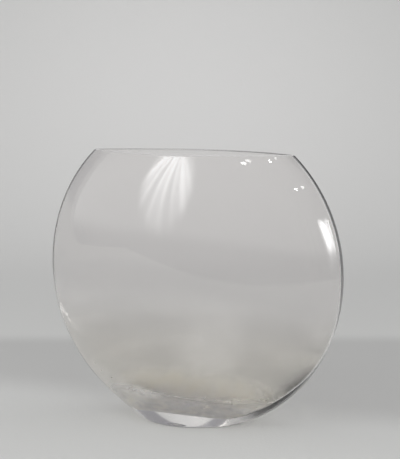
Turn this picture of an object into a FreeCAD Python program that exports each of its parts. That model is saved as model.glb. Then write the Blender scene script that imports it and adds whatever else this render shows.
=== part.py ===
import FreeCAD, Part
import math
import os
import Sketcher

# A flattened round vase of clear glass in one piece: a disc from the front, a slim lens from above.
# Millimetres, +Z up. The middle of the flat oval foot is at the origin, the broad face looks
# along -Y and the mouth opens along +Z.

SIZES = (
    ("disc_radius", 125, "outer circle that the vase shows from the front"),
    ("foot_half_width", 42.65, "where the circle meets the foot"),
    ("mouth_half_width", 84.6, "where the circle meets the mouth"),
    ("belly_half_depth", 50, "from the middle plane to the face at the belly"),
    ("mouth_half_depth", 32.8, "from the middle plane to the face at the mouth"),
    ("foot_half_depth", 31.9, "from the middle plane to the face at the foot"),
    ("upper_fullness", 2.6, "power that rounds the faces above the belly"),
    ("lower_fullness", 2.3, "power that rounds the faces below the belly"),
    ("ridge_radius", 1.5, "rounding of the ridge where the two faces meet"),
    ("face_wall", 3, "glass of the broad faces"),
    ("ridge_wall", 2.4, "glass between the ridge and the cavity"),
    ("floor_wall", 10, "solid glass under the cavity"),
    ("cavity_ridge_radius", 2, "rounding of the cavity behind the ridge"),
    ("cavity_side_fullness", 2.35, "power that rounds the cavity towards its floor, from the front"),
    ("cavity_face_fullness", 2.5, "power that rounds the cavity towards its floor, from the side"),
    ("cavity_turn", 84, "degrees of the cavity's lower quarter turn before its flat floor"),
    ("lip_radius", 0.5, "rounding of the lip, inside and outside"),
    ("foot_radius", 0.8, "rounding of the foot's edge"),
    ("cut_overrun", 2, "how far the cavity's cut runs past the mouth"),
)

# The circle's middle above the foot, and the mouth above that middle.
CENTRE_HEIGHT = "sqrt(Sizes.disc_radius ^ 2 - Sizes.foot_half_width ^ 2)"
MOUTH_RISE = "sqrt(Sizes.disc_radius ^ 2 - Sizes.mouth_half_width ^ 2)"

# Shares of each quarter turn at which a level section is drawn.
LOWER_SHARES = (1, 0.9, 0.78, 0.64, 0.48, 0.3, 0.14)
UPPER_SHARES = (0, 0.2, 0.4, 0.6, 0.8, 1)
CAVITY_LOWER_SHARES = (1, 0.96, 0.9, 0.82, 0.72, 0.6, 0.46, 0.3, 0.15)

# Where a lens section's arcs and their points are found in its sketch.
FRONT, RIGHT, BACK, LEFT, CROWN = range(5)
START, END, CENTRE = range(1, 4)
Y_AXIS, X_AXIS = range(-2, 0)
ORIGIN = (X_AXIS, START)


def make_sheet(doc):
    sheet = doc.addObject("Spreadsheet::Sheet", "Sizes")
    for row, (alias, value, note) in enumerate(SIZES, start=1):
        sheet.set(f"A{row}", alias)
        sheet.set(f"B{row}", str(value))
        sheet.setAlias(f"B{row}", alias)
        sheet.set(f"C{row}", note)
    doc.recompute()


def lower_half_depth(drop):
    """Half depth of the outside at a drop below the belly."""
    return (
        "(Sizes.foot_half_depth + (Sizes.belly_half_depth - Sizes.foot_half_depth)"
        f" * (1 - ({drop} / {CENTRE_HEIGHT}) ^ Sizes.lower_fullness))"
    )


def upper_half_depth(rise):
    """Half depth of the outside at a rise above the belly."""
    return (
        "(Sizes.mouth_half_depth + (Sizes.belly_half_depth - Sizes.mouth_half_depth)"
        f" * (1 - ({rise} / {MOUTH_RISE}) ^ Sizes.upper_fullness))"
    )


def outer_lower(share):
    """Height, half width and half depth of the outside, from the belly down to the foot."""
    turn = f"({share} * acos(Sizes.foot_half_width / Sizes.disc_radius))"
    drop = f"(Sizes.disc_radius * sin({turn}))"
    height = f"{CENTRE_HEIGHT} - {drop}"
    return height, f"Sizes.disc_radius * cos({turn})", lower_half_depth(drop)


def outer_upper(share):
    """The same from the belly up to the mouth."""
    turn = f"({share} * acos(Sizes.mouth_half_width / Sizes.disc_radius))"
    rise = f"(Sizes.disc_radius * sin({turn}))"
    height = f"{CENTRE_HEIGHT} + {rise}"
    return height, f"Sizes.disc_radius * cos({turn})", upper_half_depth(rise)


def cavity_lower(share):
    """The cavity from the belly down: a rounded turn that its small flat floor cuts short."""
    full_turn = "(Sizes.cavity_turn * 1 deg)"
    turn = f"({share} * {full_turn})"
    power = "(2 / Sizes.cavity_side_fullness)"
    reach = f"(({CENTRE_HEIGHT} - Sizes.floor_wall) / sin({full_turn}) ^ {power})"
    drop = f"({reach} * sin({turn}) ^ {power})"
    height = f"{CENTRE_HEIGHT} - {drop}"
    half_width = f"(Sizes.disc_radius - Sizes.ridge_wall) * cos({turn}) ^ {power}"
    closing = (
        f"(1 - ({drop} / {reach}) ^ Sizes.cavity_face_fullness)"
        " ^ (1 / Sizes.cavity_face_fullness)"
    )
    half_depth = f"({lower_half_depth(drop)} - Sizes.face_wall) * {closing}"
    return height, half_width, half_depth


def cavity_upper(share):
    """The cavity from the belly up to just past the mouth."""
    turn = f"({share} * asin(({MOUTH_RISE} + Sizes.cut_overrun) / Sizes.disc_radius))"
    rise = f"(Sizes.disc_radius * sin({turn}))"
    height = f"{CENTRE_HEIGHT} + {rise}"
    half_width = f"Sizes.disc_radius * cos({turn}) - Sizes.ridge_wall"
    return height, half_width, f"{upper_half_depth(rise)} - Sizes.face_wall"


def arc(centre_x, centre_y, radius, middle, spread):
    """An arc of a circle, spread to each side of its middle direction."""
    centre = FreeCAD.Vector(centre_x, centre_y, 0)
    circle = Part.Circle(centre, FreeCAD.Vector(0, 0, 1), radius)
    return Part.ArcOfCircle(circle, middle - spread, middle + spread)


def lens_section(body, name, level, tip_radius):
    """A level lens: a long arc front and back, and a small arc round each ridge."""
    height, half_width, half_depth = level
    sketch = body.newObject("Sketcher::SketchObject", name)
    plane = next(part for part in body.Origin.OriginFeatures if part.Role == "XY_Plane")
    sketch.AttachmentSupport = (plane, "")
    sketch.MapMode = "FlatFace"
    sketch.setExpression("AttachmentOffset.Base.z", height)

    tip = float(sketch.evalExpression(tip_radius))
    tip_x = float(sketch.evalExpression(half_width)) - tip
    depth = float(sketch.evalExpression(half_depth))
    radius = (tip_x**2 + depth**2 - tip**2) / (2 * (depth - tip))
    centre_y = radius - depth
    spread = math.atan2(tip_x, centre_y)
    ahead = math.pi / 2
    sketch.addGeometry(arc(0, centre_y, radius, -ahead, spread))
    sketch.addGeometry(arc(tip_x, 0, tip, 0, ahead - spread))
    sketch.addGeometry(arc(0, -centre_y, radius, ahead, spread))
    sketch.addGeometry(arc(-tip_x, 0, tip, 2 * ahead, ahead - spread))
    sketch.addGeometry(Part.Point(FreeCAD.Vector(0, -depth, 0)), True)

    sketch.addConstraint([
        Sketcher.Constraint("Tangent", FRONT, END, RIGHT, START),
        Sketcher.Constraint("Tangent", RIGHT, END, BACK, START),
        Sketcher.Constraint("Tangent", BACK, END, LEFT, START),
        Sketcher.Constraint("Coincident", LEFT, END, FRONT, START),
        Sketcher.Constraint("Symmetric", FRONT, START, FRONT, END, Y_AXIS),
        Sketcher.Constraint("PointOnObject", RIGHT, CENTRE, X_AXIS),
        Sketcher.Constraint("PointOnObject", LEFT, CENTRE, X_AXIS),
        Sketcher.Constraint("PointOnObject", BACK, CENTRE, Y_AXIS),
        Sketcher.Constraint("Equal", FRONT, BACK),
        Sketcher.Constraint("Equal", RIGHT, LEFT),
        Sketcher.Constraint("PointOnObject", CROWN, START, FRONT),
        Sketcher.Constraint("PointOnObject", CROWN, START, Y_AXIS),
    ])
    sizes = (
        ("tip_radius", Sketcher.Constraint("Radius", RIGHT, tip), tip_radius),
        ("tip_reach", Sketcher.Constraint("DistanceX", *ORIGIN, RIGHT, CENTRE, tip_x),
         f"{half_width} - {tip_radius}"),
        ("half_depth", Sketcher.Constraint("DistanceY", CROWN, START, *ORIGIN, depth), half_depth),
    )
    for size_name, constraint, expression in sizes:
        index = sketch.addConstraint(constraint)
        sketch.renameConstraint(index, size_name)
        sketch.setExpression(f"Constraints.{size_name}", expression)
    return sketch


def loft(body, kind, name, levels, tip_radius):
    sections = [
        lens_section(body, f"{name}_level_{number}", level, tip_radius)
        for number, level in enumerate(levels, start=1)
    ]
    feature = body.newObject(kind, name)
    feature.Profile = sections[0]
    feature.Sections = sections[1:]
    return feature


def fillet(body, name, height, radius):
    """Rounds every edge that lies level at a height."""
    body.Document.recompute()
    base = body.Tip
    reach = float(base.evalExpression(radius)) / 2
    at = float(base.evalExpression(height))
    edges = [
        f"Edge{number}"
        for number, edge in enumerate(base.Shape.Edges, start=1)
        if edge.BoundBox.ZMin > at - reach and edge.BoundBox.ZMax < at + reach
    ]
    feature = body.newObject("PartDesign::Fillet", name)
    feature.Base = (base, edges)
    feature.setExpression("Radius", radius)
    return feature


def make_vessel(doc):
    """The whole vase: glass lofted up the disc, the cavity taken out, the lip and foot rounded."""
    body = doc.addObject("PartDesign::Body", "vessel")
    body.Label = "vessel"
    outside = [outer_lower(share) for share in LOWER_SHARES]
    outside += [outer_upper(share) for share in UPPER_SHARES]
    loft(body, "PartDesign::AdditiveLoft", "glass", outside, "Sizes.ridge_radius")
    doc.recompute()
    solid_volume = body.Shape.Volume
    inside = [cavity_lower(share) for share in CAVITY_LOWER_SHARES]
    inside += [cavity_upper(share) for share in UPPER_SHARES]
    loft(body, "PartDesign::SubtractiveLoft", "cavity", inside, "Sizes.cavity_ridge_radius")
    doc.recompute()
    if body.Shape.Volume >= solid_volume:
        raise RuntimeError("the cavity took nothing out of the glass")
    fillet(body, "lip", f"{CENTRE_HEIGHT} + {MOUTH_RISE}", "Sizes.lip_radius")
    fillet(body, "foot_edge", "0", "Sizes.foot_radius")
    doc.recompute()
    return body


def check(doc, pieces):
    for item in doc.Objects:
        if {"Invalid", "Error"} & set(item.State):
            raise RuntimeError(f"{item.Name} failed: {item.State}")
    for piece in pieces:
        shape = piece.Shape
        if shape.isNull() or not shape.isValid():
            raise RuntimeError(f"{piece.Label} has no valid shape")


def main():
    os.makedirs("parts", exist_ok=True)
    doc = FreeCAD.newDocument("vase")
    make_sheet(doc)
    pieces = [make_vessel(doc)]
    check(doc, pieces)
    for piece in pieces:
        piece.Shape.exportStep(f"parts/{piece.Label}.step")
        box = piece.Shape.BoundBox
        print(
            f"{piece.Label}: {len(piece.Shape.Solids)} solid,"
            f" {box.XLength:.2f} x {box.YLength:.2f} x {box.ZLength:.2f} mm,"
            f" volume {piece.Shape.Volume:.0f} mm3"
        )


main()
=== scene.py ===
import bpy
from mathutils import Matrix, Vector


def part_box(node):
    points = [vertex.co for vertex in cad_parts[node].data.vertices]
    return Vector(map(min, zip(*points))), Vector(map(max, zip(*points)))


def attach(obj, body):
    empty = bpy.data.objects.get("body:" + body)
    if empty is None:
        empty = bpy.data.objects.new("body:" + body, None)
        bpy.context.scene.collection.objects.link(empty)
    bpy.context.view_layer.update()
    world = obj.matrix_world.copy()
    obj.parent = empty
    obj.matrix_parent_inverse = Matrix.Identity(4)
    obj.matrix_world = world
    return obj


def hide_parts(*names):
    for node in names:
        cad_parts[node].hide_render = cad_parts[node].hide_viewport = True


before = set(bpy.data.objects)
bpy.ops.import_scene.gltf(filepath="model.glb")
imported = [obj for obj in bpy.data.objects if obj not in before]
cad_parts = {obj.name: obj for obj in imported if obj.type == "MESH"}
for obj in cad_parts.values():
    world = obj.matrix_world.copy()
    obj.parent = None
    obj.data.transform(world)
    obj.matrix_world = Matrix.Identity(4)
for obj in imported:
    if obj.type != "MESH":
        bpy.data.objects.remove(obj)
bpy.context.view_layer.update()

import math

import bmesh
import bpy
from mathutils import Vector

bl_info = {
    "name": "Flattened Glass Vase",
    "version": (1, 0, 0),
    "blender": (4, 5, 0),
    "location": "View3D > Sidebar > Vase",
    "description": "A flattened round vase of clear glass on a studio sweep",
    "category": "Object",
}

# Metres, +Z up. The foot's middle is at the origin and the broad face looks along -Y.
# The upper corner of the CAD model's box gives the disc's radius, the belly and the mouth's height.
CAD_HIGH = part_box("vessel")[1]
QUARTER_TURN = math.pi / 2

# Faces round a level section, and rows of faces up each belt of the vase.
COLUMNS = 240
FOOT_ROWS = 4
FOOT_EDGE_ROWS = 5
OUTSIDE_ROWS = 120
LIP_ROWS = 13
CAVITY_UPPER_ROWS = 50
CAVITY_LOWER_ROWS = 64
CAVITY_FLOOR_ROWS = 8
LONG_ARC_SHARE = 0.86
WELD_DISTANCE = 0.000004

# Where use has marked the glass, in metres: heights above the foot, depths below the lip and behind the
# ridges, and distances from the middle.
FILM_FULL_HEIGHT = 0.014
GROUND_HEIGHT = 0.0004
LIP_DEPTH = 0.0008
RIDGE_DEPTH = 0.0025
RIDGE_FULL_HEIGHT = 0.04
RIDGE_CLEAR_HEIGHT = 0.26
CLEAR_HALF_WIDTH = 0.11
DULL_HALF_WIDTH = 0.09
DULL_TOP = 0.13
DULL_FULL_HEIGHT = 0.07
GREY_TOP = 0.1
GREY_FULL_HEIGHT = 0.04
SPECK_TOP = 0.05
SPECK_FULL_HEIGHT = 0.03
SMEAR_TOP = 0.15

# How strongly the marks show, and how matt each of them makes the glass.
PATCH_SHARE = 0.8
LINE_SHARE = 0.1
SPECK_SHARE = 0.6
SMEAR_SHARE = 0.2
FILM_MATT_SHARE = 0.35
FOOT_MATT_SHARE = 0.6
LIP_MATT_SHARE = 0.55
RIDGE_MATT_SHARE = 0.45
FILM_ROUGHNESS = 0.3

# Sockets of a Mix node that mixes colours.
MIX_FIRST = 6
MIX_SECOND = 7
MIX_RESULT = 2


def length(name, description, default):
    return bpy.props.FloatProperty(
        name=name, description=description, default=default, min=0, unit="LENGTH", precision=4
    )


def number(name, description, default):
    return bpy.props.FloatProperty(name=name, description=description, default=default, min=0)


def angle(name, description, degrees):
    return bpy.props.FloatProperty(
        name=name, description=description, default=math.radians(degrees), subtype="ANGLE"
    )


def colour(name, description, default):
    return bpy.props.FloatVectorProperty(
        name=name, description=description, default=default, size=3, min=0, max=1, subtype="COLOR"
    )


class VesselSizes(bpy.types.PropertyGroup):
    """Sizes of the blown vessel."""

    disc_radius: length("Disc radius", "Circle that the vase shows from the front", CAD_HIGH.x)
    foot_half_width: length("Foot half width", "Where the circle meets the foot", 0.04265)
    mouth_half_width: length("Mouth half width", "Where the circle meets the mouth", 0.0846)
    belly_half_depth: length("Belly half depth", "Middle plane to face at the belly", CAD_HIGH.y)
    mouth_half_depth: length("Mouth half depth", "Middle plane to face at the mouth", 0.0328)
    foot_half_depth: length("Foot half depth", "Middle plane to face at the foot", 0.0319)
    upper_fullness: number("Upper fullness", "Power that rounds the faces above the belly", 2.6)
    lower_fullness: number("Lower fullness", "Power that rounds the faces below the belly", 2.3)
    ridge_radius: length("Ridge radius", "Rounding where the two faces meet", 0.0015)
    face_wall: length("Face wall", "Glass of the broad faces", 0.003)
    ridge_wall: length("Ridge wall", "Glass between the ridge and the cavity", 0.0024)
    floor_wall: length("Floor wall", "Solid glass under the cavity", 0.01)
    floor_dip: length("Floor dip", "How far the middle of the cavity's floor dips", 0.0007)
    cavity_ridge_radius: length("Cavity ridge radius", "Rounding behind the ridge", 0.002)
    cavity_side_fullness: number("Cavity side fullness", "Power that rounds it, from the front", 2.35)
    cavity_face_fullness: number("Cavity face fullness", "Power that rounds it, from the side", 2.5)
    cavity_turn: angle("Cavity turn", "Lower turn of the cavity before its floor", 84)
    lip_radius: length("Lip radius", "Rounding of the lip, inside and outside", 0.0006)
    foot_radius: length("Foot radius", "Rounding of the foot's edge", 0.0008)


class GlassLook(bpy.types.PropertyGroup):
    """Finish of the glass, and what use has left on it."""

    tint: colour("Tint", "Colour that one surface lets through", (0.965, 0.955, 0.952))
    bending: number("Index of refraction", "Soda glass", 1.5)
    wave_scale: number("Wave scale", "Waves of the blown surface per metre", 14)
    wave_height: length("Wave height", "How far the blown surface waves in and out", 0.00025)
    foot_tone: colour("Foot tone", "Colour of the ground foot", (0.57, 0.56, 0.575))
    foot_grind: number("Foot grind", "Roughness of the ground foot", 0.4)
    dulling: number("Dulling", "Roughness that water left low on the inside", 0.22)
    grey_tint: colour("Grey tint", "Colour that the dulled glass lets through", (0.9, 0.88, 0.83))
    clear_share: number("Clear share", "Share of a lamp's light that one surface lets on", 0.85)
    film: colour("Film", "Brownish film left by water on the cavity's floor", (0.76, 0.7, 0.54))
    film_height: length("Film height", "Height up to which the film lies", 0.03)
    film_strength: number("Film strength", "How far the film shows where it is thickest", 0.8)
    water_line: length("Water line", "Height of the faint line that water left", 0.056)
    water_line_width: length("Water line width", "Width of that line", 0.0016)
    speck: colour("Specks", "Pale specks, smears and line on the inside", (0.9, 0.86, 0.74))
    speck_scale: number("Speck scale", "Specks per metre", 160)


class StudioLook(bpy.types.PropertyGroup):
    """Camera, paper and lamps."""

    camera_turn: angle("Camera turn", "Camera to the right of the broad face", 25.3)
    camera_rise: angle("Camera rise", "Camera above the middle of the vase", 8.34)
    camera_distance: length("Camera distance", "Camera to the middle of the vase", 1.1925)
    camera_pan: angle("Camera pan", "How far the camera turns from the vase's middle", -0.31)
    camera_tilt: angle("Camera tilt", "How far the camera tilts from the vase's middle", -1.51)
    lens: number("Lens", "Focal length in millimetres on a 36 mm sensor", 120.08)
    paper: colour("Paper", "Colour of the sweep's floor", (0.65, 0.652, 0.64))
    # The paper where the painted light on the sweep is brightest.
    paper_high: colour("Lit paper", "Colour where the backdrop is lightest", (0.81, 0.806, 0.798))
    # Painted shade on the sweep's top, above the lamps' reach.
    painted_top_shade: colour("Top of the paper", "Colour above the lamps' reach", (0.36, 0.355, 0.38))
    # Painted shade: the colour of the strip behind the vase.
    shade: colour("Shade", "Colour of the shaded strip behind the vase", (0.54, 0.54, 0.532))
    room: colour("Room", "Light of the room above the horizon", (0.775, 0.775, 0.775))
    room_low: colour("Low room", "Darker room beyond the paper's front edge", (0.26, 0.26, 0.28))
    umbrella_power: bpy.props.FloatProperty(name="Umbrella", default=18.5, unit="POWER")
    side_power: bpy.props.FloatProperty(name="Side lamp", default=11, unit="POWER")
    spark_power: bpy.props.FloatProperty(name="Small lamps", default=0.15, unit="POWER")


class Amount:
    """A number in a node tree. Plain sums with it become the tree's Math nodes."""

    def __init__(self, tree, socket):
        self.tree = tree
        self.socket = socket

    def math(self, operation, *others):
        node = self.tree.nodes.new("ShaderNodeMath")
        node.operation = operation
        for socket, value in zip(node.inputs, (self, *others)):
            feed(self.tree, value, socket)
        return Amount(self.tree, node.outputs["Value"])

    def __add__(self, other):
        return self.math("ADD", other)

    def __radd__(self, other):
        return self.math("ADD", other)

    def __sub__(self, other):
        return self.math("SUBTRACT", other)

    def __rsub__(self, other):
        return self.math("MULTIPLY", -1).math("ADD", other)

    def __mul__(self, other):
        return self.math("MULTIPLY", other)

    def __truediv__(self, other):
        return self.math("DIVIDE", other)

    def __pow__(self, other):
        return self.math("POWER", other)

    def root(self):
        return self.math("SQRT")

    def sine(self):
        return self.math("SINE")

    def cosine(self):
        return self.math("COSINE")

    def above(self, limit):
        return self.math("MAXIMUM", limit)

    def below(self, limit):
        return self.math("MINIMUM", limit)

    def clip(self):
        return self.above(0).below(1)


def feed(tree, value, socket):
    """Links an amount or a node's output to a socket, or sets a plain value on it."""
    if isinstance(value, Amount):
        tree.links.new(value.socket, socket)
    elif isinstance(value, bpy.types.NodeSocket):
        tree.links.new(value, socket)
    else:
        socket.default_value = value


def add_node(tree, kind, inputs=None, **settings):
    """Adds a node, with its settings, and feeds its inputs by name or number."""
    node = tree.nodes.new(kind)
    for name, value in settings.items():
        setattr(node, name, value)
    for name, value in (inputs or {}).items():
        feed(tree, value, node.inputs[name])
    return node


def named_inputs(group_class):
    """The names of a property group's properties, in order."""
    return list(group_class.__annotations__)


class Measures:
    """The vessel's sizes as amounts in its node tree, and what follows from them."""

    def __init__(self, tree, group_input):
        for name in named_inputs(VesselSizes):
            label = VesselSizes.bl_rna.properties[name].name
            setattr(self, name, Amount(tree, group_input.outputs[label]))
        self.centre_height = (self.disc_radius**2 - self.foot_half_width**2).root()
        self.mouth_rise = (self.disc_radius**2 - self.mouth_half_width**2).root()
        self.lip_height = self.centre_height + self.mouth_rise - self.lip_radius
        self.lip_turn = self.turn_at(self.lip_height)

    def turn_at(self, height):
        """Angle round the disc's circle, from its middle up to a height."""
        return ((height - self.centre_height) / self.disc_radius).math("ARCSINE")

    def height_at(self, turn):
        return self.centre_height + self.disc_radius * turn.sine()

    def half_width(self, height):
        rise = height - self.centre_height
        return (self.disc_radius**2 - rise**2).root()

    def half_depth(self, height):
        rise = height - self.centre_height
        upper = (rise / self.mouth_rise).above(0) ** self.upper_fullness
        lower = (rise / self.centre_height * -1).above(0) ** self.lower_fullness
        upper_fall = (self.belly_half_depth - self.mouth_half_depth) * upper
        lower_fall = (self.belly_half_depth - self.foot_half_depth) * lower
        return self.belly_half_depth - upper_fall - lower_fall


def lens_point(turn, half_width, half_depth, ridge_radius):
    """A point of a level lens: a long arc front and back, and a small arc round each ridge."""
    tip_x = half_width - ridge_radius
    radius = (tip_x**2 + half_depth**2 - ridge_radius**2) / ((half_depth - ridge_radius) * 2)
    centre_y = radius - half_depth
    spread = tip_x.math("ARCTAN2", centre_y)
    quarter = (turn * 4).math("PINGPONG", 1)
    on_tip = quarter.math("GREATER_THAN", LONG_ARC_SHARE)
    along_arc = (quarter / LONG_ARC_SHARE).below(1)
    along_tip = (quarter - LONG_ARC_SHARE).above(0) / (1 - LONG_ARC_SHARE)
    heading = spread * along_arc + (QUARTER_TURN - spread) * along_tip
    reach = radius + (ridge_radius - radius) * on_tip
    x = tip_x * on_tip + reach * heading.sine()
    y = centre_y * (1 - on_tip) - reach * heading.cosine()
    side = (0.5 - turn).math("SIGN")
    behind = (turn - 0.5).math("ABSOLUTE").math("LESS_THAN", 0.25)
    return x * side, y * (1 - behind * 2)


def belt(tree, rows, section, in_cavity):
    """A sheet of faces bent into one belt, from the section that each share of its climb gives."""
    grid = add_node(
        tree,
        "GeometryNodeMeshGrid",
        {"Size X": 1, "Size Y": 1, "Vertices X": COLUMNS + 1, "Vertices Y": rows + 1},
    )
    flat = add_node(tree, "GeometryNodeInputPosition")
    parts = add_node(tree, "ShaderNodeSeparateXYZ", {0: flat.outputs[0]})
    turn = (Amount(tree, parts.outputs["X"]) + 0.5).clip()
    climb = (Amount(tree, parts.outputs["Y"]) + 0.5).clip()
    half_width, half_depth, height, ridge_radius = section(climb)
    x, y = lens_point(turn, half_width, half_depth, ridge_radius)
    place = add_node(tree, "ShaderNodeCombineXYZ", {"X": x, "Y": y, "Z": height})
    bent = add_node(
        tree,
        "GeometryNodeSetPosition",
        {"Geometry": grid.outputs["Mesh"], "Position": place.outputs[0]},
    )
    marked = add_node(
        tree,
        "GeometryNodeStoreNamedAttribute",
        {"Geometry": bent.outputs[0], "Name": "cavity", "Value": float(in_cavity)},
        data_type="FLOAT",
        domain="POINT",
    )
    return marked.outputs[0]


def outside_belts(tree, size):
    """The belts from the middle of the foot up the outside and over the lip."""
    ground = size.foot_radius * 0
    foot_edge_turn = size.turn_at(size.foot_radius)

    def foot(climb):
        half_width = size.half_width(ground) - size.foot_radius
        half_depth = size.half_depth(ground) - size.foot_radius
        return half_width * climb, half_depth * climb, ground, size.ridge_radius * climb

    def foot_edge(climb):
        roll = climb * QUARTER_TURN
        height = size.foot_radius * (1 - roll.cosine())
        inset = size.foot_radius * (1 - roll.sine())
        return (
            size.half_width(height) - inset,
            size.half_depth(height) - inset,
            height,
            size.ridge_radius,
        )

    def outside(climb):
        height = size.height_at(foot_edge_turn + (size.lip_turn - foot_edge_turn) * climb)
        return size.half_width(height), size.half_depth(height), height, size.ridge_radius

    def lip(climb):
        steps = climb * LIP_ROWS
        round_rows = (LIP_ROWS - 1) / 2
        first_roll = (steps / round_rows).below(1) * QUARTER_TURN
        across = (steps - round_rows).clip()
        last_roll = ((steps - round_rows - 1) / round_rows).above(0) * QUARTER_TURN
        height = size.lip_height + size.lip_radius * (first_roll.sine() + last_roll.cosine() - 1)
        rolled = size.lip_radius * (1 - first_roll.cosine() + last_roll.sine())
        ridge_inset = rolled + (size.ridge_wall - size.lip_radius * 2) * across
        face_inset = rolled + (size.face_wall - size.lip_radius * 2) * across
        ridge_step = (size.cavity_ridge_radius - size.ridge_radius) * climb
        return (
            size.half_width(height) - ridge_inset,
            size.half_depth(height) - face_inset,
            height,
            size.ridge_radius + ridge_step,
        )

    return (
        belt(tree, FOOT_ROWS, foot, False),
        belt(tree, FOOT_EDGE_ROWS, foot_edge, False),
        belt(tree, OUTSIDE_ROWS, outside, False),
        belt(tree, LIP_ROWS, lip, False),
    )


def cavity_belts(tree, size):
    """The belts from the lip down the inside to the middle of the cavity's floor."""
    power = size.cavity_side_fullness ** -1 * 2
    floor_drop = size.centre_height - size.floor_wall
    full_drop = floor_drop / size.cavity_turn.sine() ** power

    def upper(climb):
        height = size.height_at(size.lip_turn * (1 - climb))
        return (
            size.half_width(height) - size.ridge_wall,
            size.half_depth(height) - size.face_wall,
            height,
            size.cavity_ridge_radius,
        )

    def turned(turn):
        drop = full_drop * turn.sine() ** power
        height = size.centre_height - drop
        half_width = (size.disc_radius - size.ridge_wall) * turn.cosine() ** power
        closing = 1 - (drop / full_drop) ** size.cavity_face_fullness
        closing = closing ** (size.cavity_face_fullness ** -1)
        half_depth = (size.half_depth(height) - size.face_wall) * closing
        return half_width, half_depth, height, size.cavity_ridge_radius

    def lower(climb):
        return turned(size.cavity_turn * climb)

    def floor(climb):
        half_width, half_depth, height, ridge_radius = turned(size.cavity_turn)
        closing = 1 - climb
        dip = size.floor_dip * (1 - closing**2)
        return half_width * closing, half_depth * closing, height - dip, ridge_radius * closing

    return (
        belt(tree, CAVITY_UPPER_ROWS, upper, True),
        belt(tree, CAVITY_LOWER_ROWS, lower, True),
        belt(tree, CAVITY_FLOOR_ROWS, floor, True),
    )


def vessel_tree():
    """Geometry Nodes that make the vessel from its sizes."""
    tree = bpy.data.node_groups.new("Flattened vase", "GeometryNodeTree")
    for name in named_inputs(VesselSizes):
        prop = VesselSizes.bl_rna.properties[name]
        socket = tree.interface.new_socket(
            prop.name, in_out="INPUT", socket_type="NodeSocketFloat"
        )
        socket.default_value = prop.default
        socket.description = prop.description
    tree.interface.new_socket("Glass", in_out="INPUT", socket_type="NodeSocketMaterial")
    tree.interface.new_socket("Vase", in_out="OUTPUT", socket_type="NodeSocketGeometry")
    group_input = tree.nodes.new("NodeGroupInput")
    group_output = tree.nodes.new("NodeGroupOutput")
    joined = tree.nodes.new("GeometryNodeJoinGeometry")
    size = Measures(tree, group_input)
    for geometry in reversed(outside_belts(tree, size) + cavity_belts(tree, size)):
        tree.links.new(geometry, joined.inputs[0])
    welded = add_node(
        tree,
        "GeometryNodeMergeByDistance",
        {"Geometry": joined.outputs[0], "Distance": WELD_DISTANCE},
    )
    smooth = add_node(tree, "GeometryNodeSetShadeSmooth", {"Geometry": welded.outputs[0]})
    real = add_node(tree, "GeometryNodeRealizeInstances", {"Geometry": smooth.outputs[0]})
    finished = add_node(
        tree,
        "GeometryNodeSetMaterial",
        {"Geometry": real.outputs[0], "Material": group_input.outputs["Glass"]},
    )
    tree.links.new(finished.outputs[0], group_output.inputs["Vase"])
    return tree


def set_inputs(modifier, values):
    """Sets a Geometry Nodes modifier's inputs, by the identifier behind each name."""
    for item in modifier.node_group.interface.items_tree:
        if item.in_out == "INPUT" and item.name in values:
            modifier[item.identifier] = values[item.name]


def baked(tree, name, values):
    """A plain mesh object from a Geometry Nodes tree."""
    source = bpy.data.objects.new(name, bpy.data.meshes.new(name))
    bpy.context.scene.collection.objects.link(source)
    modifier = source.modifiers.new(tree.name, "NODES")
    modifier.node_group = tree
    set_inputs(modifier, values)
    depsgraph = bpy.context.evaluated_depsgraph_get()
    mesh = bpy.data.meshes.new_from_object(
        source.evaluated_get(depsgraph), preserve_all_data_layers=True, depsgraph=depsgraph
    )
    source.modifiers.remove(modifier)
    source.data = mesh
    mesh.name = name
    return source


def check_closed(mesh):
    """Stops unless every edge has two faces and the faces look outwards."""
    work = bmesh.new()
    work.from_mesh(mesh)
    open_edges = sum(len(edge.link_faces) != 2 for edge in work.edges)
    volume = work.calc_volume(signed=True)
    work.free()
    if open_edges or volume <= 0:
        raise RuntimeError(f"{mesh.name} has {open_edges} open edges and volume {volume}")


def new_material(name):
    material = bpy.data.materials.new(name)
    material.use_nodes = True
    tree = material.node_tree
    return material, tree, tree.nodes["Principled BSDF"]


def ease(tree, value, low, high):
    """A share that eases from 0 at one value to 1 at the other."""
    node = add_node(
        tree,
        "ShaderNodeMapRange",
        {"Value": value, "From Min": low, "From Max": high},
        interpolation_type="SMOOTHSTEP",
    )
    return Amount(tree, node.outputs["Result"])


def noise(tree, place, scale, detail=2, packing=(1, 1, 1)):
    """Noise on a place, packed closer along an axis where its factor is larger."""
    mapping = add_node(tree, "ShaderNodeMapping", {"Vector": place, "Scale": packing})
    node = add_node(
        tree,
        "ShaderNodeTexNoise",
        {"Vector": mapping.outputs[0], "Scale": scale, "Detail": detail},
    )
    return Amount(tree, node.outputs[0])


def opaque(tone):
    """A colour with its alpha. A socket stays as it is."""
    return tone if isinstance(tone, bpy.types.NodeSocket) else (*tone, 1)


def mixed(tree, share, first, second):
    """One colour turning into another by a share."""
    node = add_node(
        tree,
        "ShaderNodeMix",
        {"Factor": share, MIX_FIRST: opaque(first), MIX_SECOND: opaque(second)},
        data_type="RGBA",
    )
    return node.outputs[MIX_RESULT]


class GlassPlace:
    """Where a point of the glass lies, as amounts in its material."""

    def __init__(self, tree):
        self.tree = tree
        self.place = add_node(tree, "ShaderNodeTexCoord").outputs["Object"]
        parts = add_node(tree, "ShaderNodeSeparateXYZ", {0: self.place})
        self.height = Amount(tree, parts.outputs["Z"])
        self.sideways = Amount(tree, parts.outputs["X"]).math("ABSOLUTE")
        marked = add_node(tree, "ShaderNodeAttribute", attribute_name="cavity")
        self.inside = Amount(tree, marked.outputs["Fac"])

    def low_share(self, top, full):
        """1 up to the full height, easing out to 0 at the top."""
        return ease(self.tree, self.height, top, full)

    def patch_share(self, scale, detail, low, high, packing=(1, 1, 1)):
        """Patches of noise that ease in between two of its values."""
        return ease(self.tree, noise(self.tree, self.place, scale, detail, packing), low, high)


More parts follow.
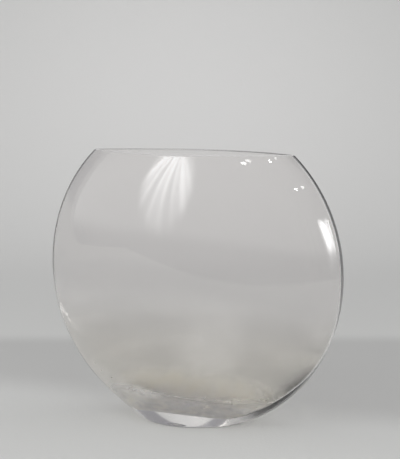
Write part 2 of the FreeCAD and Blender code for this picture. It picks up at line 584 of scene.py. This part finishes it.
def film_share(glass, look):
    """The brownish film that water left on the cavity's floor."""
    patches = glass.patch_share(scale=110, detail=6, low=0.3, high=0.7, packing=(1, 1, 1.6))
    thickness = patches * PATCH_SHARE + (1 - PATCH_SHARE)
    low = glass.low_share(look.film_height, FILM_FULL_HEIGHT)
    return glass.inside * low * thickness * look.film_strength


def water_line_share(glass, look):
    """The faint, broken line where water stood."""
    off_line = (glass.height - look.water_line).math("ABSOLUTE")
    on_line = ease(glass.tree, off_line, look.water_line_width, 0)
    broken = glass.patch_share(scale=18, detail=3, low=0.48, high=0.62)
    return glass.inside * on_line * broken * LINE_SHARE


def speck_share(glass, look):
    """Specks of lime, in loose groups low inside."""
    sprinkled = glass.patch_share(look.speck_scale, detail=2, low=0.66, high=0.74)
    groups = glass.patch_share(scale=26, detail=2, low=0.5, high=0.64)
    band = glass.low_share(SPECK_TOP, SPECK_FULL_HEIGHT)
    return glass.inside * band * sprinkled * groups * SPECK_SHARE


def smear_share(glass):
    """Level smears that fade out up the inside."""
    smears = glass.patch_share(scale=30, detail=5, low=0.45, high=0.75, packing=(0.35, 0.35, 1.6))
    return glass.inside * smears * glass.low_share(SMEAR_TOP, 0) * SMEAR_SHARE


def dulled_share(glass):
    """The part of the inside that water has dulled: low, and away from the ridges."""
    low = glass.low_share(DULL_TOP, DULL_FULL_HEIGHT)
    middle = ease(glass.tree, glass.sideways, CLEAR_HALF_WIDTH, DULL_HALF_WIDTH)
    return glass.inside * low * middle


def worn_share(glass, sizes, on_foot):
    """How matt the ground foot, the lip and the outside of the ridges have become."""
    on_lip = ease(glass.tree, glass.height, CAD_HIGH.z - LIP_DEPTH, CAD_HIGH.z)
    centre_height = math.sqrt(sizes.disc_radius**2 - sizes.foot_half_width**2)
    from_axis = (glass.sideways**2 + (glass.height - centre_height) ** 2).root()
    ridge = sizes.disc_radius
    on_ridge = ease(glass.tree, from_axis, ridge - RIDGE_DEPTH, ridge) * (1 - glass.inside)
    on_ridge = on_ridge * glass.low_share(RIDGE_CLEAR_HEIGHT, RIDGE_FULL_HEIGHT)
    return on_foot * FOOT_MATT_SHARE + on_lip * LIP_MATT_SHARE + on_ridge * RIDGE_MATT_SHARE


def glass_colour(glass, look, on_foot, film, pale):
    """The tint, greyer low inside, under the foot's tone, the film and the pale marks."""
    tree = glass.tree
    clear = mixed(tree, on_foot, look.tint, look.foot_tone)
    grey = glass.inside * glass.low_share(GREY_TOP, GREY_FULL_HEIGHT)
    greyed = mixed(tree, grey, clear, look.grey_tint)
    stained = mixed(tree, film.clip(), greyed, look.film)
    return mixed(tree, pale, stained, look.speck)


def blown_surface(glass, look):
    """Slow waves of the blown glass, longer upwards than across."""
    waves = noise(glass.tree, glass.place, look.wave_scale, detail=3, packing=(1, 1, 0.6))
    bump = add_node(
        glass.tree,
        "ShaderNodeBump",
        {"Strength": 1, "Distance": look.wave_height, "Height": waves},
    )
    return bump.outputs[0]


def glass_material(look, sizes):
    """Clear blown glass, stained and dulled low inside, and worn at its lip, ridges and foot."""
    material, tree, shader = new_material("clear_glass")
    shader.inputs["IOR"].default_value = look.bending
    glass = GlassPlace(tree)
    on_foot = glass.low_share(GROUND_HEIGHT, 0)
    film = film_share(glass, look)
    pale = (water_line_share(glass, look) + speck_share(glass, look) + smear_share(glass)).clip()
    feed(tree, glass_colour(glass, look, on_foot, film, pale), shader.inputs["Base Color"])

    matt = film * FILM_MATT_SHARE + pale + worn_share(glass, sizes, on_foot)
    feed(tree, 1 - matt.clip(), shader.inputs["Transmission Weight"])
    rough = on_foot * look.foot_grind + dulled_share(glass) * look.dulling
    rough = rough + (film + pale).clip() * FILM_ROUGHNESS
    feed(tree, rough, shader.inputs["Roughness"])

    # Glass throws a faint shadow: most of a lamp's light goes through it.
    to_lamp = Amount(tree, tree.nodes.new("ShaderNodeLightPath").outputs["Is Shadow Ray"])
    feed(tree, 1 - to_lamp * look.clear_share, shader.inputs["Alpha"])
    feed(tree, blown_surface(glass, look), shader.inputs["Normal"])
    return material


class VASE_OT_vessel(bpy.types.Operator):
    """Makes the blown glass vessel"""

    bl_idname = "vase.vessel"
    bl_label = "Glass Vessel"

    def execute(self, context):
        sizes = context.scene.vase_sizes
        values = {
            sizes.bl_rna.properties[name].name: getattr(sizes, name)
            for name in named_inputs(VesselSizes)
        }
        values["Glass"] = glass_material(context.scene.vase_glass, sizes)
        vessel = baked(vessel_tree(), "glass_vessel", values)
        check_closed(vessel.data)
        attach(vessel, "root")
        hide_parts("vessel")
        return {"FINISHED"}


# The sweep: a paper floor that bends up into a backdrop behind the vase.
FLOOR_DROP = 0.0004
PAPER_FRONT = 0.75
PAPER_BACK = 0.75
PAPER_BEND = 0.8
PAPER_TOP = 2.5
PAPER_HALF_WIDTH = 2.5
BEND_STEPS = 16

# The painted shade strip on the paper: where it starts, how far its edge slants, where it ends.
SHADE_NEAR = 0.06
SHADE_SLANT = 0.43
SHADE_FAR = 0.33
NEAR_BLUR = 0.05
FAR_BLUR = 0.03

# Painted light: where the glow painted on the sweep is brightest, as distance behind the vase plus
# height, and how far it spreads.
GLOW_ALONG = 1.52
GLOW_HALF_LENGTH = 1.15
GLOW_HALF_WIDTH = 0.7

# Heights between which painted shade darkens the paper towards its top, above the lamps' reach.
TOP_LOW = 0.36
TOP_HIGH = 0.48

# The painted pool of light that stands for the light the vase throws into the painted shade strip.
POOL_HALF_WIDTH = 0.12
POOL_MIDDLE = 0.2
POOL_HALF_LENGTH = 0.2
POOL_CORE_SHARE = 0.3
POOL_SHARE = 0.38

# The paper's surface: matt, with a tooth of this height in metres and this many grains per metre.
PAPER_ROUGHNESS = 0.9
PAPER_SHINE = 0.1
TOOTH_HEIGHT = 0.0002
TOOTH_SCALE = 400


def oval_share(tree, across, along, core_share=0):
    """1 in the core of an oval of half width and half length 1, easing out to 0 at its edge."""
    return ease(tree, (across**2 + along**2).root(), 1, core_share)


def shade_share(tree, across, away):
    """The painted shade strip behind the vase, with a painted pool of light in it."""
    near = away + across * SHADE_SLANT
    shade = ease(tree, near, SHADE_NEAR - NEAR_BLUR, SHADE_NEAR + NEAR_BLUR)
    shade = shade * ease(tree, away, SHADE_FAR + FAR_BLUR, SHADE_FAR - FAR_BLUR)
    pool_across = across / POOL_HALF_WIDTH
    pool_away = (away - POOL_MIDDLE) / POOL_HALF_LENGTH
    pool = oval_share(tree, pool_across, pool_away, POOL_CORE_SHARE) * POOL_SHARE
    return shade * (1 - pool)


def paper_material(studio):
    """Matt paper with a fine tooth, with painted light in a wide glow, a painted shade strip behind the
    vase and painted shade at its top.
    """
    material, tree, shader = new_material("paper")
    shader.inputs["Roughness"].default_value = PAPER_ROUGHNESS
    shader.inputs["Specular IOR Level"].default_value = PAPER_SHINE
    place = add_node(tree, "ShaderNodeTexCoord").outputs["Object"]
    height = Amount(tree, add_node(tree, "ShaderNodeSeparateXYZ", {0: place}).outputs["Z"])

    def distance(direction):
        node = add_node(
            tree, "ShaderNodeVectorMath", {0: place, 1: direction}, operation="DOT_PRODUCT"
        )
        return Amount(tree, node.outputs["Value"])

    away = distance(away_from_camera(studio))
    across = distance(across_camera(studio))
    # Painted light: a wide glow painted into the sweep's colour.
    glow_along = (away + height - GLOW_ALONG) / GLOW_HALF_LENGTH
    glow = oval_share(tree, across / GLOW_HALF_WIDTH, glow_along)
    lit = mixed(tree, glow, studio.paper, studio.paper_high)
    # Painted shade: the sweep darkens towards its top.
    sweep = mixed(tree, ease(tree, height, TOP_LOW, TOP_HIGH), lit, studio.painted_top_shade)
    # Painted shade: the strip behind the vase, lightened by a painted pool of light.
    tone = mixed(tree, shade_share(tree, across, away), sweep, studio.shade)
    feed(tree, tone, shader.inputs["Base Color"])
    tooth = add_node(
        tree,
        "ShaderNodeBump",
        {"Distance": TOOTH_HEIGHT, "Height": noise(tree, place, TOOTH_SCALE)},
    )
    feed(tree, tooth.outputs[0], shader.inputs["Normal"])
    return material


def away_from_camera(studio):
    return Vector((-math.sin(studio.camera_turn), math.cos(studio.camera_turn), 0))


def across_camera(studio):
    return Vector((math.cos(studio.camera_turn), math.sin(studio.camera_turn), 0))


def paper_outline():
    """Distance behind the vase and height of the sweep, from its front edge to its top."""
    points = [(-PAPER_FRONT, 0), (PAPER_BACK, 0)]
    for step in range(1, BEND_STEPS + 1):
        roll = QUARTER_TURN * step / BEND_STEPS
        points.append(
            (PAPER_BACK + PAPER_BEND * math.sin(roll), PAPER_BEND * (1 - math.cos(roll)))
        )
    points.append((PAPER_BACK + PAPER_BEND, PAPER_TOP))
    return points


def make_paper(studio):
    """The sweep, square to the camera."""
    away = away_from_camera(studio)
    across = across_camera(studio)
    points = []
    for distance, height in paper_outline():
        middle = away * distance + Vector((0, 0, height - FLOOR_DROP))
        points.append(middle - across * PAPER_HALF_WIDTH)
        points.append(middle + across * PAPER_HALF_WIDTH)
    faces = [(i, i + 1, i + 3, i + 2) for i in range(0, len(points) - 2, 2)]
    mesh = bpy.data.meshes.new("paper")
    mesh.from_pydata(points, [], faces)
    mesh.shade_smooth()
    mesh.materials.append(paper_material(studio))
    paper = bpy.data.objects.new("paper", mesh)
    bpy.context.scene.collection.objects.link(paper)


# The camera and the lamps: places, and widths and heights, in metres.
CAMERA_AIM_HEIGHT = 0.1175
SENSOR_WIDTH_MM = 36
LAMP_AIM_HEIGHT = 0.1
UMBRELLA_PLACE = (-0.85, -1.5, 0.92)
UMBRELLA_SIZE = (1.2, 1.7)
SIDE_LAMP_PLACE = (1.4, -0.72, 0.33)
SIDE_LAMP_SIZE = (0.2, 0.78)
SPARK_PLACES = ((0.4, -0.8, 1.19), (0.65, -0.51, 1.26), (0.95, -0.6, 0.96))
SPARK_WIDTHS = (0.08, 0.03, 0.04)
SPARK_HEIGHT = 0.04

# The umbrella's light over its face, which is 1 wide and 1 high: two sets of rays round one centre, a
# core with a soft edge, and more light above than below.
FACE_MIDDLE = 0.5
RAYS = 27
WIDE_RAYS = 11
WIDE_RAY_TURN = 1
RAY_CENTRE = 1.06
UMBRELLA_CORE = 0.33
LOW_LIGHT_SHARE = 0.22
RISING_LIGHT_SHARE = 1.3
RAY_SHARE = 0.45
WIDE_RAY_SHARE = 0.35
CLOTH_SHARE = 0.42

# The side lamp's light over its face, which is 1 wide and 1 high: strong above and faint below.
SIDE_FADE_LOW = 0.28
SIDE_FADE_HIGH = 0.7
SIDE_UPPER_SHARE = 0.93
SIDE_FOOT_HIGH = 0.4
SIDE_LOWER_SHARE = 0.07
SIDE_TOP_FADE = 0.8

# The room's horizon, as how far up a direction looks.
HORIZON_LOW = -0.02
HORIZON_HIGH = 0.1


def aimed(name, data, place, target):
    """An object at a place whose -Z axis looks at a target."""
    item = bpy.data.objects.new(name, data)
    item.location = place
    item.rotation_euler = (place - target).to_track_quat("Z", "Y").to_euler()
    bpy.context.scene.collection.objects.link(item)
    return item


def make_lamp(name, place, size, power):
    """An oval lamp that looks at the vase."""
    lamp = bpy.data.lights.new(name, "AREA")
    lamp.shape = "ELLIPSE"
    lamp.size, lamp.size_y = size
    lamp.energy = power
    return aimed(name, lamp, Vector(place), Vector((0, 0, LAMP_AIM_HEIGHT)))


def face_of(lamp):
    """A lamp's node tree, and how far a point of its face lies sideways and from its foot up."""
    lamp.data.use_nodes = True
    tree = lamp.data.node_tree
    flat = add_node(tree, "ShaderNodeNewGeometry").outputs["Parametric"]
    parts = add_node(tree, "ShaderNodeSeparateXYZ", {0: flat})
    return tree, Amount(tree, parts.outputs["X"]) - FACE_MIDDLE, Amount(tree, parts.outputs["Y"])


def make_umbrella(studio):
    """A lit umbrella: brighter above, with rays of cloth between its ribs."""
    umbrella = make_lamp("umbrella", UMBRELLA_PLACE, UMBRELLA_SIZE, studio.umbrella_power)
    tree, side, rise = face_of(umbrella)
    around = side.math("ARCTAN2", RAY_CENTRE - rise)
    rays = (around * RAYS).cosine() * 0.5 + 0.5
    wide_rays = (around * WIDE_RAYS + WIDE_RAY_TURN).cosine() * 0.5 + 0.5
    from_middle = (side**2 + (rise - FACE_MIDDLE) ** 2).root()
    soft_edge = ease(tree, from_middle, FACE_MIDDLE, UMBRELLA_CORE)
    upward = LOW_LIGHT_SHARE + ease(tree, rise, 0, 1) * RISING_LIGHT_SHARE
    cloth = rays**2 * RAY_SHARE + wide_rays * WIDE_RAY_SHARE + CLOTH_SHARE
    feed(tree, soft_edge * upward * cloth, tree.nodes["Emission"].inputs["Strength"])


def make_side_lamp(studio):
    """A narrow window-like lamp whose lower half fades out."""
    lamp = make_lamp("side_lamp", SIDE_LAMP_PLACE, SIDE_LAMP_SIZE, studio.side_power)
    tree, side, rise = face_of(lamp)
    upper = ease(tree, rise, SIDE_FADE_LOW, SIDE_FADE_HIGH) * SIDE_UPPER_SHARE
    lower = ease(tree, rise, 0, SIDE_FOOT_HIGH) * SIDE_LOWER_SHARE
    middle = ease(tree, side.math("ABSOLUTE"), FACE_MIDDLE, 0) ** 2
    glow = (upper + lower) * middle * ease(tree, rise, 1, SIDE_TOP_FADE)
    feed(tree, glow, tree.nodes["Emission"].inputs["Strength"])


def make_sparks(studio):
    """Small lamps whose glints show near the mouth."""
    for number, (place, width) in enumerate(zip(SPARK_PLACES, SPARK_WIDTHS), start=1):
        make_lamp(f"spark_{number}", place, (width, SPARK_HEIGHT), studio.spark_power)


def make_room(studio):
    """Even light from above the horizon, and less from beyond the paper's front edge."""
    world = bpy.data.worlds.new("room")
    world.use_nodes = True
    tree = world.node_tree
    heading = add_node(tree, "ShaderNodeTexCoord").outputs["Generated"]
    rise = Amount(tree, add_node(tree, "ShaderNodeSeparateXYZ", {0: heading}).outputs["Z"])
    above = ease(tree, rise, HORIZON_LOW, HORIZON_HIGH)
    tone = mixed(tree, above, studio.room_low, studio.room)
    feed(tree, tone, tree.nodes["Background"].inputs["Color"])
    bpy.context.scene.world = world


def make_camera(studio):
    """The camera where the photograph's outline places it."""
    turn, rise = studio.camera_turn, studio.camera_rise
    centre = Vector((0, 0, CAMERA_AIM_HEIGHT))

    def heading(around, up):
        return Vector(
            (math.sin(around) * math.cos(up), -math.cos(around) * math.cos(up), math.sin(up))
        )

    data = bpy.data.cameras.new("camera")
    data.lens = studio.lens
    data.sensor_width = SENSOR_WIDTH_MM
    camera = bpy.data.objects.new("camera", data)
    camera.location = centre + heading(turn, rise) * studio.camera_distance
    back = heading(turn + studio.camera_pan, rise + studio.camera_tilt)
    camera.rotation_euler = back.to_track_quat("Z", "Y").to_euler()
    bpy.context.scene.collection.objects.link(camera)
    bpy.context.scene.camera = camera


class VASE_OT_studio(bpy.types.Operator):
    """Makes the paper sweep, the room, the lamps and the camera"""

    bl_idname = "vase.studio"
    bl_label = "Studio"

    def execute(self, context):
        studio = context.scene.vase_studio
        context.scene.view_settings.view_transform = "Standard"
        make_paper(studio)
        make_room(studio)
        make_umbrella(studio)
        make_side_lamp(studio)
        make_sparks(studio)
        make_camera(studio)
        return {"FINISHED"}


class VASE_PT_sidebar(bpy.types.Panel):
    """Lists the vase's operators and sizes"""

    bl_label = "Vase"
    bl_idname = "VASE_PT_sidebar"
    bl_space_type = "VIEW_3D"
    bl_region_type = "UI"
    bl_category = "Vase"

    def draw(self, context):
        groups = (
            (VASE_OT_vessel, context.scene.vase_sizes),
            (None, context.scene.vase_glass),
            (VASE_OT_studio, context.scene.vase_studio),
        )
        for operator, settings in groups:
            box = self.layout.box()
            if operator:
                box.operator(operator.bl_idname)
            for name in named_inputs(type(settings)):
                box.prop(settings, name)


CLASSES = (
    VesselSizes,
    GlassLook,
    StudioLook,
    VASE_OT_vessel,
    VASE_OT_studio,
    VASE_PT_sidebar,
)


def register():
    for item in CLASSES:
        bpy.utils.register_class(item)
    bpy.types.Scene.vase_sizes = bpy.props.PointerProperty(type=VesselSizes)
    bpy.types.Scene.vase_glass = bpy.props.PointerProperty(type=GlassLook)
    bpy.types.Scene.vase_studio = bpy.props.PointerProperty(type=StudioLook)


def unregister():
    del bpy.types.Scene.vase_studio
    del bpy.types.Scene.vase_glass
    del bpy.types.Scene.vase_sizes
    for item in reversed(CLASSES):
        bpy.utils.unregister_class(item)


def main():
    register()
    bpy.ops.vase.vessel()
    bpy.ops.vase.studio()


if __name__ == "__main__":
    main()
